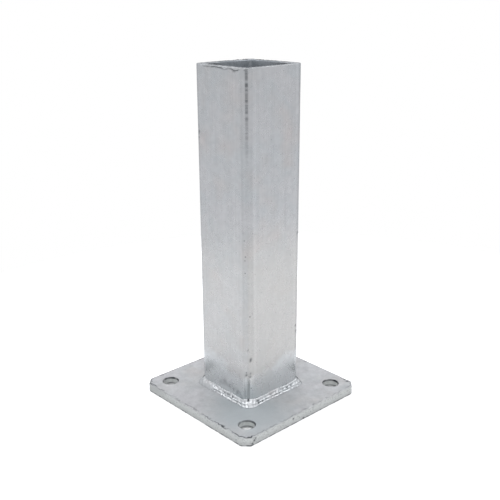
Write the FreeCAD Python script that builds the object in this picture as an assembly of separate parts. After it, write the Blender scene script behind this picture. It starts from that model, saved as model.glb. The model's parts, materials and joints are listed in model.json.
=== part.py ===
"""Post base: a square steel tube standing on a square base plate, held by a fillet weld all round its foot.

Frame: millimetres, +Z up along the tube, origin at the centre of the plate's underside.
The sides are named as seen from the front, looking along +Y: front is -Y, left is -X.
"""
import FreeCAD, Part
import math
import os

# Base plate
PLATE_SIDE = 130.0              # width and depth, over the flats
PLATE_THICKNESS = 8.0
CORNER_CLIP = 6.0               # leg of the 45 degree cut at each corner
CLIP_ROUNDING = 1.5             # upright rounding where a clip meets a side
PLATE_EDGE_BREAK = 0.5          # small 45 degree break round both faces

# Holes in the plate
ANCHOR_HOLE_DIAMETER = 13.5     # clears an M12 anchor
ANCHOR_HOLE_EDGE_DISTANCE = 16.0    # from a hole's centre to the two plate edges beside it
DRAIN_HOLE_DIAMETER = 20.0      # lets zinc and rain out of the tube's foot
HOLE_EDGE_BREAK = 0.4           # small 45 degree break at both rims of every hole

# Square hollow section
TUBE_SIDE = 60.0
TUBE_WALL = 4.0
TUBE_CORNER_RADIUS = 8.0        # outside corner
TUBE_LENGTH = 270.0             # stands on the plate's top face
TUBE_END_BREAK = 0.4            # dressed rim of the open end
SEAM_WIDTH = 3.0                # ridge that the tube mill's seam weld leaves inside, on the front wall
SEAM_HEIGHT = 0.6

# Fillet weld
WELD_LEG_ON_PLATE = 3.7
WELD_LEG_ON_TUBE = 4.8
WELD_CROWN = 0.35               # how far the face bulges beyond a flat fillet
WELD_CORNER_LUMP = 1.5          # added to both legs where two runs meet at a tube corner
WELD_LUMP_REACH = 9.0           # distance from the corner over which the lump dies away
WELD_WANDER = 0.3               # slow change of both legs along a run laid by hand
WELD_WANDER_LENGTH = 23.0       # distance between one wide place and the next
WELD_ROOT_DEPTH = 1.0           # how far a section reaches into plate and tube before it is trimmed
RIPPLE_PITCH = 2.4              # spacing of the ripples along the bead
RIPPLE_HEIGHT = 0.22            # crest over valley
RIPPLE_SWEEP = 1.1              # how far the middle of a ripple trails its ends

OUTPUT_FOLDER = "parts"
UP = FreeCAD.Vector(0, 0, 1)
ORIGIN = FreeCAD.Vector(0, 0, 0)

# Shape of a weld section, as directions seen from the weld's root: 0 lies along the plate, 90 up the tube.
# The outer two directions reach into the plate and the tube, which are cut away afterwards.
SECTION_DIRECTIONS = (-12.0, 6.0, 25.0, 45.0, 65.0, 84.0, 102.0)
RIPPLE_SECTIONS = ((0.0, -0.5), (0.4, 0.5))     # (share of the pitch, share of the ripple's height): valley, crest
WELD_RUNS = {"weld_front": 0.0, "weld_right": 0.8, "weld_back": 2.1, "weld_left": 3.3}  # wander's phase, radians


# ---------------------------------------------------------------- base plate

def vertical_edges(solid):
    """The straight edges of a prism that run along Z."""
    return [edge for edge in solid.Edges if abs(edge.tangentAt(edge.FirstParameter).z) > 0.999]


def plate_outline():
    """Square with its four corners clipped, as a closed polygon on the underside's plane."""
    half = PLATE_SIDE / 2
    inner = half - CORNER_CLIP
    quarter = [(half, -inner), (half, inner)]
    corners = []
    for turn in range(4):
        for x, y in quarter:
            for _ in range(turn):
                x, y = -y, x
            corners.append(FreeCAD.Vector(x, y, 0))
    return Part.makePolygon(corners + corners[:1])


def perimeter_edges(plate):
    """The edges round the plate's two faces, to be softened."""
    return [edge for edge in plate.Edges if edge.BoundBox.ZLength < 1e-6]


def hole_cutter(x, y, diameter):
    """Cutter for one round hole through the plate, opened out at both faces by the hole's edge break."""
    wide = diameter / 2 + HOLE_EDGE_BREAK
    narrow = diameter / 2
    heights = [0, HOLE_EDGE_BREAK, PLATE_THICKNESS - HOLE_EDGE_BREAK, PLATE_THICKNESS]
    profile = [(0, heights[0]), (wide, heights[0]), (narrow, heights[1]),
               (narrow, heights[2]), (wide, heights[3]), (0, heights[3])]
    points = [FreeCAD.Vector(r, 0, z) for r, z in profile]
    cutter = Part.Face(Part.makePolygon(points + points[:1])).revolve(ORIGIN, UP, 360)
    cutter.translate(FreeCAD.Vector(x, y, 0))
    return cutter


def anchor_hole_centres():
    """Centres of the four anchor holes, one near each corner of the plate."""
    reach = PLATE_SIDE / 2 - ANCHOR_HOLE_EDGE_DISTANCE
    return [(sx * reach, sy * reach) for sx in (-1, 1) for sy in (-1, 1)]


def make_base_plate():
    """Clipped square plate with softened edges, four anchor holes and a drain hole under the tube."""
    plate = Part.Face(plate_outline()).extrude(UP * PLATE_THICKNESS)
    plate = plate.makeFillet(CLIP_ROUNDING, vertical_edges(plate))
    plate = plate.makeChamfer(PLATE_EDGE_BREAK, perimeter_edges(plate))
    for x, y in anchor_hole_centres():
        plate = plate.cut(hole_cutter(x, y, ANCHOR_HOLE_DIAMETER))
    return plate.cut(hole_cutter(0, 0, DRAIN_HOLE_DIAMETER))


# ---------------------------------------------------------------- tube

def rounded_square_prism(side, radius, bottom, height):
    """Upright square prism, centred on the Z axis, with its four upright corners rounded."""
    half = side / 2
    prism = Part.makeBox(side, side, height, FreeCAD.Vector(-half, -half, bottom))
    return prism.makeFillet(radius, vertical_edges(prism))


def tube_blank(bottom, height):
    """The tube's outer form, solid right through."""
    return rounded_square_prism(TUBE_SIDE, TUBE_CORNER_RADIUS, bottom, height)


def seam_ridge(bottom, height):
    """Low rounded ridge on the inside of the front wall, rooted in the wall."""
    inner_face = -TUBE_SIDE / 2 + TUBE_WALL
    radius = (SEAM_WIDTH ** 2 / 4 + SEAM_HEIGHT ** 2) / (2 * SEAM_HEIGHT)
    centre = FreeCAD.Vector(0, inner_face + SEAM_HEIGHT - radius, bottom)
    rod = Part.makeCylinder(radius, height, centre, UP)
    inside = Part.makeBox(SEAM_WIDTH, TUBE_WALL / 2 + SEAM_HEIGHT, height,
                          FreeCAD.Vector(-SEAM_WIDTH / 2, inner_face - TUBE_WALL / 2, bottom))
    return rod.common(inside)


def make_post_tube():
    """Square hollow section with rounded corners, an inner seam and a dressed open end."""
    bottom = PLATE_THICKNESS
    top = bottom + TUBE_LENGTH
    inner_side = TUBE_SIDE - 2 * TUBE_WALL
    inner_radius = max(TUBE_CORNER_RADIUS - TUBE_WALL, TUBE_WALL / 4)
    bore = rounded_square_prism(inner_side, inner_radius, bottom, TUBE_LENGTH)
    tube = tube_blank(bottom, TUBE_LENGTH).cut(bore)
    rim = [edge for edge in tube.Edges if edge.BoundBox.ZMin > top - 1e-6]
    tube = tube.makeChamfer(TUBE_END_BREAK, rim)
    ridge = seam_ridge(bottom, TUBE_LENGTH - TUBE_END_BREAK)
    return tube.fuse(ridge).removeSplitter()


# ---------------------------------------------------------------- weld

def run_lengths():
    """Lengths of one run, along the middle of the bead: one corner's share, and the straight between."""
    corner = (TUBE_CORNER_RADIUS + WELD_LEG_ON_PLATE / 2) * math.pi / 4
    straight = TUBE_SIDE - 2 * TUBE_CORNER_RADIUS
    return corner, straight


def foot_of_front_wall(travel):
    """Point on the tube's outside, and outward direction, after a travel along the front run.

    The run starts in the middle of the left corner's arc and ends in the middle of the right one's.
    """
    corner, straight = run_lengths()
    centre = TUBE_SIDE / 2 - TUBE_CORNER_RADIUS
    if travel < corner:
        turn, middle_x = -math.pi / 4 * (1 - travel / corner), -centre
    elif travel > corner + straight:
        turn, middle_x = math.pi / 4 * (travel - corner - straight) / corner, centre
    else:
        turn, middle_x = 0.0, -centre + travel - corner
    outward = FreeCAD.Vector(math.sin(turn), -math.cos(turn), 0)
    return FreeCAD.Vector(middle_x, -centre, PLATE_THICKNESS) + outward * TUBE_CORNER_RADIUS, outward


def fade_at_ends(travel, total, reach):
    """0 at both ends of a run, rising smoothly to 1 over the reach."""
    nearest = min(travel, total - travel)
    share = min(max(nearest / reach, 0.0), 1.0)
    return share * share * (3 - 2 * share)


def weld_section(travel, ripple, phase):
    """Closed section of the bead at a travel along its run, with its crown trailing as a ripple's does.

    The ripple is the height that the section's place on its ripple adds to the bead's face.
    """
    corner, straight = run_lengths()
    middle = fade_at_ends(travel, 2 * corner + straight, WELD_LUMP_REACH)
    wander = WELD_WANDER * math.sin(2 * math.pi * travel / WELD_WANDER_LENGTH + phase)
    growth = WELD_CORNER_LUMP * (1 - middle) + wander * middle
    leg_on_plate = WELD_LEG_ON_PLATE + growth
    leg_on_tube = WELD_LEG_ON_TUBE + growth

    points = []
    for direction in SECTION_DIRECTIONS:
        angle = math.radians(direction)
        crown_share = max(math.sin(2 * angle), 0.0)
        flat_reach = 1 / (math.cos(angle) / leg_on_plate + math.sin(angle) / leg_on_tube)
        reach = flat_reach + WELD_CROWN * crown_share + ripple * middle
        foot, outward = foot_of_front_wall(travel - RIPPLE_SWEEP * crown_share * middle)
        points.append(foot + outward * (reach * math.cos(angle)) + UP * (reach * math.sin(angle)))
    foot, outward = foot_of_front_wall(travel)
    root = foot - outward * WELD_ROOT_DEPTH - UP * WELD_ROOT_DEPTH
    face = Part.BSplineCurve()
    face.interpolate(points)
    return Part.Wire([face.toShape(), Part.makeLine(points[-1], root), Part.makeLine(root, points[0])])


def make_weld_run(phase):
    """One run of the fillet weld, along the front wall, meeting its neighbours in the corners' middle planes."""
    corner, straight = run_lengths()
    total = 2 * corner + straight
    ripples = max(2, round(total / RIPPLE_PITCH))
    pitch = total / ripples
    sections = [
        weld_section((number + share) * pitch, height * RIPPLE_HEIGHT, phase)
        for number in range(ripples) for share, height in RIPPLE_SECTIONS
    ]
    sections.append(weld_section(total, 0.0, phase))
    bead = Part.makeLoft(sections, True, True)
    above_weld = 4 * (WELD_LEG_ON_TUBE + WELD_CORNER_LUMP)
    reach = TUBE_SIDE + above_weld
    slab = Part.makeBox(2 * reach, 2 * reach, PLATE_THICKNESS, FreeCAD.Vector(-reach, -reach, 0))
    return bead.cut(tube_blank(0, PLATE_THICKNESS + above_weld)).cut(slab)


def make_weld_runs():
    """The four runs, each turned a quarter round the tube from the one before."""
    runs = {}
    for turn, (name, phase) in enumerate(WELD_RUNS.items()):
        run = make_weld_run(phase)
        run.rotate(ORIGIN, UP, 90 * turn)
        runs[name] = run
    return runs


def main():
    os.makedirs(OUTPUT_FOLDER, exist_ok=True)
    pieces = {"base_plate": make_base_plate(), "post_tube": make_post_tube()}
    pieces.update(make_weld_runs())
    for name, shape in pieces.items():
        solid = shape.Solids[0]
        print(f"{name}: {len(shape.Solids)} solid, valid {shape.isValid()}, {solid.Volume:.1f} mm3, "
              f"{len(solid.Faces)} faces")
        shape.exportStep(os.path.join(OUTPUT_FOLDER, name + ".step"))


main()
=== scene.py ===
"""Looks of a bolt-down post base: a square steel tube welded to a base plate and hot-dip galvanised.

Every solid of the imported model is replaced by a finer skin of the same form, with the uneven zinc, the
cut edges and the laid weld that the real piece has. Sizes in the classes are in millimetres, meshes in
metres.
"""
import json
import logging
import math
from dataclasses import dataclass
from enum import Enum
from functools import partial
from typing import Callable, NamedTuple

import bpy
from mathutils import Matrix, Vector, noise
from mathutils.geometry import delaunay_2d_cdt


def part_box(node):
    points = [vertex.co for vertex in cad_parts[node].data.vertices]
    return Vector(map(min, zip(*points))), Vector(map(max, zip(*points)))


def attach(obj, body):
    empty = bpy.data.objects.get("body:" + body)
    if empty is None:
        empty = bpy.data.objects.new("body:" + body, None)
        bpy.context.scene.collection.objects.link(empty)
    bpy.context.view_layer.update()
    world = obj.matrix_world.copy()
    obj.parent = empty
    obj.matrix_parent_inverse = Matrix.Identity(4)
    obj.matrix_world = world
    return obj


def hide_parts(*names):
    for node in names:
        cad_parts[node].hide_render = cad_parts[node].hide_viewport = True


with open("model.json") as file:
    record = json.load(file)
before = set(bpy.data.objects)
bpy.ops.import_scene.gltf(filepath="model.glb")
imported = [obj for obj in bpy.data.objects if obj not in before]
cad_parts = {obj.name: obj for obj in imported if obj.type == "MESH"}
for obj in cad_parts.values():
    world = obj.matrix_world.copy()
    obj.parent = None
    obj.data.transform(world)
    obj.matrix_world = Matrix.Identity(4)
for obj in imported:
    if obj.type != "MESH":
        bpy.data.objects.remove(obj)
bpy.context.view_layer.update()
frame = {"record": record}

MM = 0.001
BODY = "root"

log = logging.getLogger("post_base")
Point = tuple[float, float, float]
Flat = tuple[float, float]
Socket = bpy.types.NodeSocket
Lay = Callable[..., Socket]         # add_node with its tree already given


class Side(Enum):
    """The sides of the plate and the tube, by the turn about +Z from the front side, in degrees."""

    FRONT = 0
    RIGHT = 90
    BACK = 180
    LEFT = 270

    @property
    def node(self) -> str:
        """Name of the weld run that lies along this side of the tube."""
        return "weld_" + self.name.lower()

    def turned(self, x: float, y: float) -> Flat:
        """Carry a point given for the front side round to this side."""
        angle = math.radians(self.value)
        return x * math.cos(angle) - y * math.sin(angle), x * math.sin(angle) + y * math.cos(angle)


# ------------------------------------------------------------------ small helpers

def linear(hex_colour: str) -> tuple[float, float, float, float]:
    """Turn an sRGB hex colour into the linear colour that Blender reads.

    Args:
        hex_colour: a colour such as "#c8cacc".

    Returns:
        Red, green, blue and alpha, each from 0 to 1.
    """
    values = [int(hex_colour[i:i + 2], 16) / 255 for i in (1, 3, 5)]
    red, green, blue = (v / 12.92 if v <= 0.04045 else ((v + 0.055) / 1.055) ** 2.4 for v in values)
    return red, green, blue, 1.0


def held(value: float) -> float:
    """Hold a value between 0 and 1."""
    return min(max(value, 0.0), 1.0)


def smooth(value: float, low: float, high: float) -> float:
    """Step smoothly from 0 at or below low to 1 at or above high."""
    share = held((value - low) / (high - low))
    return share * share * (3 - 2 * share)


def hump(value: float, middle: float, width: float) -> float:
    """Swell from 0 to 1 at the middle and fall to 0 again, to 0.37 a width away from it."""
    return math.exp(-((value - middle) / width) ** 2)


def shade_smooth(mesh: bpy.types.Mesh) -> None:
    """Mark every face of a mesh as smooth."""
    mesh.polygons.foreach_set("use_smooth", [True] * len(mesh.polygons))
    mesh.update()


class Kind(NamedTuple):
    """A kind of node, with the settings that tell it apart."""

    name: str
    settings: dict[str, object] = {}


ADD, SUBTRACT, MULTIPLY, DIVIDE, MAXIMUM, MINIMUM, ABSOLUTE, SINE, LESS, GREATER = (
    Kind("ShaderNodeMath", {"operation": operation}) for operation in (
        "ADD", "SUBTRACT", "MULTIPLY", "DIVIDE", "MAXIMUM", "MINIMUM", "ABSOLUTE", "SINE", "LESS_THAN",
        "GREATER_THAN"))
SCALE, DIVIDE_PARTS, ABSOLUTE_PARTS, DISTANCE = (
    Kind("ShaderNodeVectorMath", {"operation": operation}) for operation in (
        "SCALE", "DIVIDE", "ABSOLUTE", "DISTANCE"))
SPLIT = Kind("ShaderNodeSeparateXYZ")
SPLIT_COLOUR = Kind("ShaderNodeSeparateColor")
RANGE = Kind("ShaderNodeMapRange")              # value, from, to, low, high; held at both ends
NOISE = Kind("ShaderNodeTexNoise", {"noise_dimensions": "4D"})      # place, seed, swells per mm, detail
CELLS = Kind("ShaderNodeTexVoronoi")
BLEND = Kind("ShaderNodeMix", {"data_type": "RGBA"})        # share; its colours and its result:
FIRST, SECOND, BLENDED = 6, 7, 2
BACKGROUND = Kind("ShaderNodeBackground")
RAY = Kind("ShaderNodeLightPath")


def add_node(tree: bpy.types.NodeTree, kind: Kind, *values: object, inputs: dict | None = None,
             output: int | str = 0) -> Socket | None:
    """Add one node to a tree, with its settings, values and links.

    Args:
        tree: the shader, world or geometry tree.
        kind: the kind of node.
        values: what its first inputs get, in order: a value, or the output to link.
        inputs: what other inputs get, by name or number.
        output: name or number of the output to give back.

    Returns:
        That output, or None where the node has none.
    """
    node = tree.nodes.new(kind.name)
    for name, value in kind.settings.items():
        setattr(node, name, value)
    for key, value in {**dict(enumerate(values)), **(inputs or {})}.items():
        if isinstance(value, Socket):
            tree.links.new(value, node.inputs[key])
        else:
            node.inputs[key].default_value = value
    return node.outputs[output] if node.outputs else None


class Swell(NamedTuple):
    """A pattern of soft, uneven swells."""

    height: float                   # they rise and fall by about this much
    size: float                     # width of one, in millimetres
    seed: float                     # shifts the pattern, so that no two are alike

    def at(self, x: float, y: float, z: float = 0.0) -> float:
        """Give the pattern's height at a place.

        Args:
            x: place along X, in millimetres.
            y: place along Y, in millimetres.
            z: place along Z, in millimetres.

        Returns:
            The height, below zero in a hollow.
        """
        place = (part / self.size + shift * self.seed
                 for part, shift in zip((x, y, z), (17.3, -9.1, 4.7)))
        return self.height * noise.noise(Vector(place))


class Touch(NamedTuple):
    """What sawing, cutting and dipping left of one point of a plain form."""

    place: Point
    pit: float = 0.0                # 1 in a dark pit and where shade is painted, 0 on the clean coat
    cut: float = 0.0                # 1 on a rough cut edge, 0 on a rolled face; inside the tube it also carries painted shade


class Skin:
    """One closed skin, gathered ring by ring in millimetres and turned into an object in metres."""

    def __init__(self) -> None:
        self.points: list[Point] = []
        self.faces: list[tuple[int, ...]] = []
        self.marks: dict[str, list[float]] = {}

    def ring(self, points: list[Point]) -> list[int]:
        """Add a ring of points.

        Args:
            points: the ring, in millimetres.

        Returns:
            The points' numbers in the skin.
        """
        first = len(self.points)
        self.points.extend(points)
        return list(range(first, len(self.points)))

    def bridge(self, lower: list[int], upper: list[int]) -> None:
        """Join two rings of equal length with quads.

        Args:
            lower: the first ring; where it runs anticlockwise, seen from the next, the quads face outward.
            upper: the next ring.
        """
        count = len(lower)
        for i in range(count):
            j = (i + 1) % count
            self.faces.append((lower[i], lower[j], upper[j], upper[i]))

    def stack(self, rings: list[list[int]]) -> None:
        """Join each ring of a stack to the next."""
        for lower, upper in zip(rings, rings[1:]):
            self.bridge(lower, upper)

    def weather(self, touch: Callable[[Point], Touch]) -> None:
        """Move every point and remember what happened to the surface there.

        Args:
            touch: gives what the works left of a point of the plain form.
        """
        touches = [touch(point) for point in self.points]
        self.points = [t.place for t in touches]
        self.marks["pit"] = [held(t.pit) for t in touches]
        self.marks["cut"] = [held(t.cut) for t in touches]

    def build(self, name: str) -> bpy.types.Object:
        """Make the object, in metres, at the origin.

        Args:
            name: the piece's name.

        Returns:
            The linked mesh object.
        """
        mesh = bpy.data.meshes.new(name)
        mesh.from_pydata([(x * MM, y * MM, z * MM) for x, y, z in self.points], [], self.faces)
        for mark, values in self.marks.items():
            mesh.attributes.new(mark, "FLOAT", "POINT").data.foreach_set("value", values)
        shade_smooth(mesh)
        piece = bpy.data.objects.new(name, mesh)
        bpy.context.scene.collection.objects.link(piece)
        return piece


# ------------------------------------------------------------------ finishes

@dataclass(frozen=True)
class GalvanisedZinc:
    """Hot-dip galvanised steel: a bare, satin zinc coat that froze as it drained from the steel.

    The coat is metal through and through, so it mirrors the room softly. It is a pale grey with faint
    bluish and warm clouds where the alloy layers differ, a trace of frozen crystal grain, long faint
    draw lines from the steel under it, and small dark specks where flux or ash was caught. Cut edges
    carry a rougher, duller coat than rolled faces.

    A span holds the noise values between which a pattern comes in.
    """

    name: str
    pale: str = "#cbcccd"
    cool: str = "#c3c9cb"
    warm: str = "#cdcac9"
    dark: str = "#4c5053"           # ash, bare pits and painted shade
    cut: str = "#c8c9ca"            # dull coat on cut edges
    cloud_mm: float = 26.0          # one cloud of bluish or warm tint
    cool_span: Flat = (0.42, 0.66)
    warm_span: Flat = (0.48, 0.72)
    crystal_mm: float = 5.0         # one crystal of the frozen zinc
    crystal_depth: float = 0.028
    draw_mm: Point = (1.4, 1.4, 80.0)       # one draw line, along X, Y and Z
    draw_span: Flat = (0.3, 0.7)
    draw_depth: float = 0.05
    speck_gap_mm: float = 5.0
    speck_mm: float = 0.9
    speck_share: float = 0.07       # share of the gaps that hold a speck
    speck_depth: float = 0.45       # how dark a speck is
    mottle_mm: float = 3.6          # one blotch of the frozen coat
    mottle_span: Flat = (0.34, 0.66)
    mottle_depth: float = 0.035
    fleck_mm: float = 1.5           # bare fleck on a cut edge
    fleck_span: Flat = (0.50, 0.68)
    fleck_depth: float = 0.35
    roughness: float = 0.28
    roughness_change: float = 0.05  # up and down, in patches
    cut_roughness: float = 0.62
    swell_mm: float = 9.0           # one swell of the frozen surface
    swell_height_mm: float = 0.010
    grit_mm: float = 0.9            # finest unevenness, drawn coarse enough to be seen
    grit_height_mm: float = 0.012
    cut_grain_mm: float = 1.7       # unevenness of a cut edge
    cut_height_mm: float = 0.08
    pit_sink_mm: float = 0.05

    def build(self) -> bpy.types.Material:
        """Make the material.

        Returns:
            The node material.
        """
        material = bpy.data.materials.new(self.name)
        material.use_nodes = True
        material.node_tree.nodes.clear()
        lay = partial(add_node, material.node_tree)
        place = lay(Kind("ShaderNodeTexCoord"), output="Object")
        place_mm = lay(SCALE, place, inputs={"Scale": 1 / MM})
        pit, cut = (lay(Kind("ShaderNodeAttribute", {"attribute_name": name}), output="Fac")
                    for name in ("pit", "cut"))
        specks = self.specks(lay, place_mm, self.speck_gap_mm, self.speck_mm, self.speck_share)
        flecks = lay(RANGE, lay(NOISE, place_mm, 9.0, 1 / self.fleck_mm, 2.0), *self.fleck_span,
                     0.0, self.fleck_depth)
        soil = lay(MAXIMUM, pit, lay(MULTIPLY, specks, self.speck_depth))
        soil = lay(MAXIMUM, soil, lay(MULTIPLY, flecks, cut))
        soil = lay(MAXIMUM, soil, self.soiling(lay, place_mm))
        colour = self.tinted(lay, place_mm)
        for share, tint in ((cut, self.cut), (soil, self.dark)):
            colour = lay(BLEND, share, inputs={FIRST: colour, SECOND: linear(tint)}, output=BLENDED)
        rough = lay(RANGE, lay(NOISE, place_mm, 0.0, 3 / self.cloud_mm, 3.0), 0.3, 0.7,
                    self.roughness - self.roughness_change, self.roughness + self.roughness_change)
        rough = lay(MAXIMUM, rough, lay(MULTIPLY, cut, self.cut_roughness))
        shader = lay(Kind("ShaderNodeBsdfPrincipled"), inputs={
            "Base Color": colour, "Metallic": 1.0, "Roughness": rough,
            "Normal": self.relief(lay, place_mm, soil, cut)})
        lay(Kind("ShaderNodeOutputMaterial"), shader)
        return material

    def tinted(self, lay: Lay, place_mm: Socket) -> Socket:
        """Lay the clouded zinc colour with crystal grain and draw lines.

        Args:
            lay: adds a node to the material's tree.
            place_mm: the place, in millimetres.

        Returns:
            The colour.
        """
        cool = lay(RANGE, lay(NOISE, place_mm, 0.0, 1 / self.cloud_mm, 2.0), *self.cool_span)
        warm = lay(RANGE, lay(NOISE, place_mm, 3.0, 1 / self.cloud_mm, 2.0), *self.warm_span)
        base = linear(self.pale)
        for share, tint in ((cool, self.cool), (warm, self.warm)):
            base = lay(BLEND, share, inputs={FIRST: base, SECOND: linear(tint)}, output=BLENDED)
        cells = Kind("ShaderNodeTexVoronoi", {"feature": "SMOOTH_F1"})
        crystal = lay(cells, place_mm, inputs={"Scale": 1 / self.crystal_mm}, output="Color")
        crystal = lay(RANGE, lay(SPLIT_COLOUR, crystal, output="Red"), 0.0, 1.0,
                      1 - self.crystal_depth, 1 + self.crystal_depth)
        stretched = lay(DIVIDE_PARTS, place_mm, self.draw_mm)
        drawn = lay(RANGE, lay(NOISE, stretched, 0.0, 1.0, 2.0), *self.draw_span,
                    1 - self.draw_depth, 1 + self.draw_depth / 2)
        mottle = lay(RANGE, lay(NOISE, place_mm, 7.0, 1 / self.mottle_mm, 4.0), *self.mottle_span,
                     1 - self.mottle_depth, 1 + self.mottle_depth)
        return lay(SCALE, base, inputs={"Scale": lay(MULTIPLY, lay(MULTIPLY, crystal, drawn), mottle)})

    @staticmethod
    def specks(lay: Lay, place_mm: Socket, gap: float, size: float, share: float) -> Socket:
        """Lay scattered round specks.

        Args:
            lay: adds a node to the material's tree.
            place_mm: the place, in millimetres.
            gap: between two places where a speck may lie.
            size: a speck's width.
            share: share of those places that hold one.

        Returns:
            1 on a speck, 0 off it.
        """
        away = lay(CELLS, place_mm, inputs={"Scale": 1 / gap}, output="Distance")
        near = lay(RANGE, away, 0.2 * size / gap, 0.6 * size / gap, 1.0, 0.0)
        pick = lay(SPLIT_COLOUR, away.node.outputs["Color"], output="Green")
        return lay(MULTIPLY, near, lay(LESS, pick, share))

    def soiling(self, lay: Lay, place_mm: Socket) -> object:
        """Lay further dark marks; the plain coat has none."""
        return 0.0

    def relief(self, lay: Lay, place_mm: Socket, soil: Socket, cut: Socket) -> Socket:
        """Lay the normal of the frozen swells, the fine grit, the rough cut edges and the sunken marks.

        Args:
            lay: adds a node to the material's tree.
            place_mm: the place, in millimetres.
            soil: how dark the place is, from pits, ash and painted shade.
            cut: how far the place lies on a cut edge.

        Returns:
            The normal.
        """
        sawn = lay(MULTIPLY, lay(NOISE, place_mm, 5.0, 1 / self.cut_grain_mm, 2.0), cut)
        layers = [
            (self.swell_height_mm, lay(NOISE, place_mm, 0.0, 1 / self.swell_mm, 1.0)),
            (self.grit_height_mm, lay(NOISE, place_mm, 0.0, 1 / self.grit_mm, 3.0)),
            (self.cut_height_mm, sawn),
            (-self.pit_sink_mm, soil),
        ]
        under: dict[str, Socket] = {}
        for height, pattern in layers:
            bump = Kind("ShaderNodeBump", {"invert": height < 0})
            under["Normal"] = lay(bump, inputs={"Distance": abs(height) * MM, "Height": pattern, **under})
        return under["Normal"]


@dataclass(frozen=True)
class TubeZinc(GalvanisedZinc):
    """The coat on the tube.

    It has painted shade along the rolled corners and a painted highlight on the front and back walls beside
    them, a broken dark draw line down each corner, and a warmer grey low down. Down the left and right
    corners a line and a band of painted shade run all the way. Near the weld it is paler and cooler, and
    has dark tears.

    Nearness is the smaller of a place's distances from the tube's two middle planes, so it is largest
    on the corners. A rise holds two heights, and a near holds two nearnesses, between which a mark comes
    in or fades out.
    """

    corner_near_mm: Flat = (22.8, 24.2)     # nearness over which the painted shade of the corner comes in
    corner_line_mm: float = 27.15   # and where the draw line lies
    line_edge_mm: Flat = (-0.35, 0.25)      # it comes in between these, seen from there
    side_line: float = 0.44         # strength of the painted shade line all the way down the left and right corners
    side_band: float = 0.34         # strength of the thin band of painted shade round it
    band_near_mm: Flat = (24.2, 26.4)       # nearness over which that band comes in
    corner_dullness: float = 0.07   # how much darker the painted corner shade is
    flank_shine: float = 0.035      # painted highlight on the front and back walls, where the band ends
    flank_near_mm: Flat = (20.0, 21.5)
    tan: str = "#cccac5"            # thicker alloy low down, most of it on the front and back walls
    tan_share: float = 0.55
    tan_rise_mm: Flat = (125.0, 165.0)      # height over which it fades
    dash_mm: float = 2.7            # one dash of the draw line
    dash_span: Flat = (0.28, 0.70)
    dash_strength: Flat = (0.25, 0.75)      # between two dashes and in one
    line_rise_mm: Flat = (206.0, 256.0)     # height over which the line comes in
    line_start: float = 0.06        # its strength below that
    band_rise_mm: Flat = (110.0, 250.0)     # and that band of painted shade grows to its full strength
    tear_rise_mm: Flat = (26.0, 40.0)       # dark tears run down each corner and fade out up to here
    tear_mm: Point = (1.1, 1.1, 26.0)       # one tear, along X, Y and Z
    tear_span: Flat = (0.50, 0.62)
    tear_near_mm: Flat = (24.6, 25.6)       # nearness from which they lie
    core_near_mm: Flat = (26.3, 27.6)       # and from which the whole corner is dark between them
    tear_share: float = 0.5
    core_share: float = 0.22
    pit_rise_mm: Flat = (145.0, 165.0)      # pits lie along each corner and fade out up to here
    pit_near_mm: Flat = (25.2, 25.8)        # and from this nearness on
    pit_gap_mm: float = 3.4
    pit_mm: float = 1.3
    pit_share: float = 0.45         # share of the gaps that hold one
    pit_depth: float = 0.75
    # the duller colour of cut edges, also laid inside the tube as painted shade
    cut: str = "#c0c6cb"
    sheen: str = "#dee2e4"          # paler, cooler tint low down near the weld
    sheen_share: float = 0.7
    sheen_edge_mm: Flat = (-5.0, 3.0)       # height over which it ends, seen from its own edge
    sheen_swell_mm: float = 13.0    # one swell of that edge
    sheen_height_mm: float = 27.0
    sheen_slope: float = 0.6        # how much higher it reaches towards the left and right corners
    sheen_wander_mm: float = 16.0

    @staticmethod
    def nearness(lay: Lay, place_mm: Socket) -> tuple[Socket, Socket]:
        """Lay the place's nearness to a corner and which walls it belongs to.

        Args:
            lay: adds a node to the material's tree.
            place_mm: the place, in millimetres.

        Returns:
            The nearness, in millimetres, and 1 on the front and back walls, 0 on the side walls.
        """
        parts = lay(SPLIT, lay(ABSOLUTE_PARTS, place_mm)).node.outputs
        faces_front = lay(RANGE, lay(SUBTRACT, parts["Y"], parts["X"]), -1.0, 1.0)
        return lay(MINIMUM, parts["X"], parts["Y"]), faces_front

    def tinted(self, lay: Lay, place_mm: Socket) -> Socket:
        """Lay the zinc colour, with painted shade on the corners and a painted highlight beside them,
        warmer low down and paler and cooler at the foot.

        Args:
            lay: adds a node to the material's tree.
            place_mm: the place, in millimetres.

        Returns:
            The colour.
        """
        colour = super().tinted(lay, place_mm)
        parts = lay(SPLIT, place_mm).node.outputs
        near, faces_front = self.nearness(lay, place_mm)
        low = lay(RANGE, parts["Z"], *self.tan_rise_mm, self.tan_share, 0.0)
        alloy = lay(MULTIPLY, low, lay(RANGE, faces_front, 0.0, 1.0, 0.5, 1.0))
        colour = lay(BLEND, alloy, inputs={FIRST: colour, SECOND: linear(self.tan)}, output=BLENDED)
        # painted highlight on the front and back walls beside each corner, and painted shade on the corners
        flank = lay(MULTIPLY, lay(RANGE, near, *self.flank_near_mm, 0.0, self.flank_shine), faces_front)
        off_corner = lay(RANGE, near, *self.corner_near_mm, 1.0, 0.0)
        painted_lift = lay(MULTIPLY, lay(ADD, flank, self.corner_dullness), off_corner)
        colour = lay(SCALE, colour, inputs={"Scale": lay(ADD, painted_lift, 1 - self.corner_dullness)})
        across = lay(ABSOLUTE, lay(SUBTRACT, parts["X"], parts["Y"]))
        height = lay(ADD, lay(MULTIPLY, across, self.sheen_slope / 2), self.sheen_height_mm)
        wander = lay(SUBTRACT, lay(NOISE, place_mm, 1.5, 1 / self.sheen_swell_mm, 3.0), 0.5)
        height = lay(ADD, height, lay(MULTIPLY, wander, 2 * self.sheen_wander_mm))
        above = lay(SUBTRACT, parts["Z"], height)
        sheen = lay(RANGE, above, *self.sheen_edge_mm, self.sheen_share, 0.0)
        return lay(BLEND, sheen, inputs={FIRST: colour, SECOND: linear(self.sheen)}, output=BLENDED)

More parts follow.
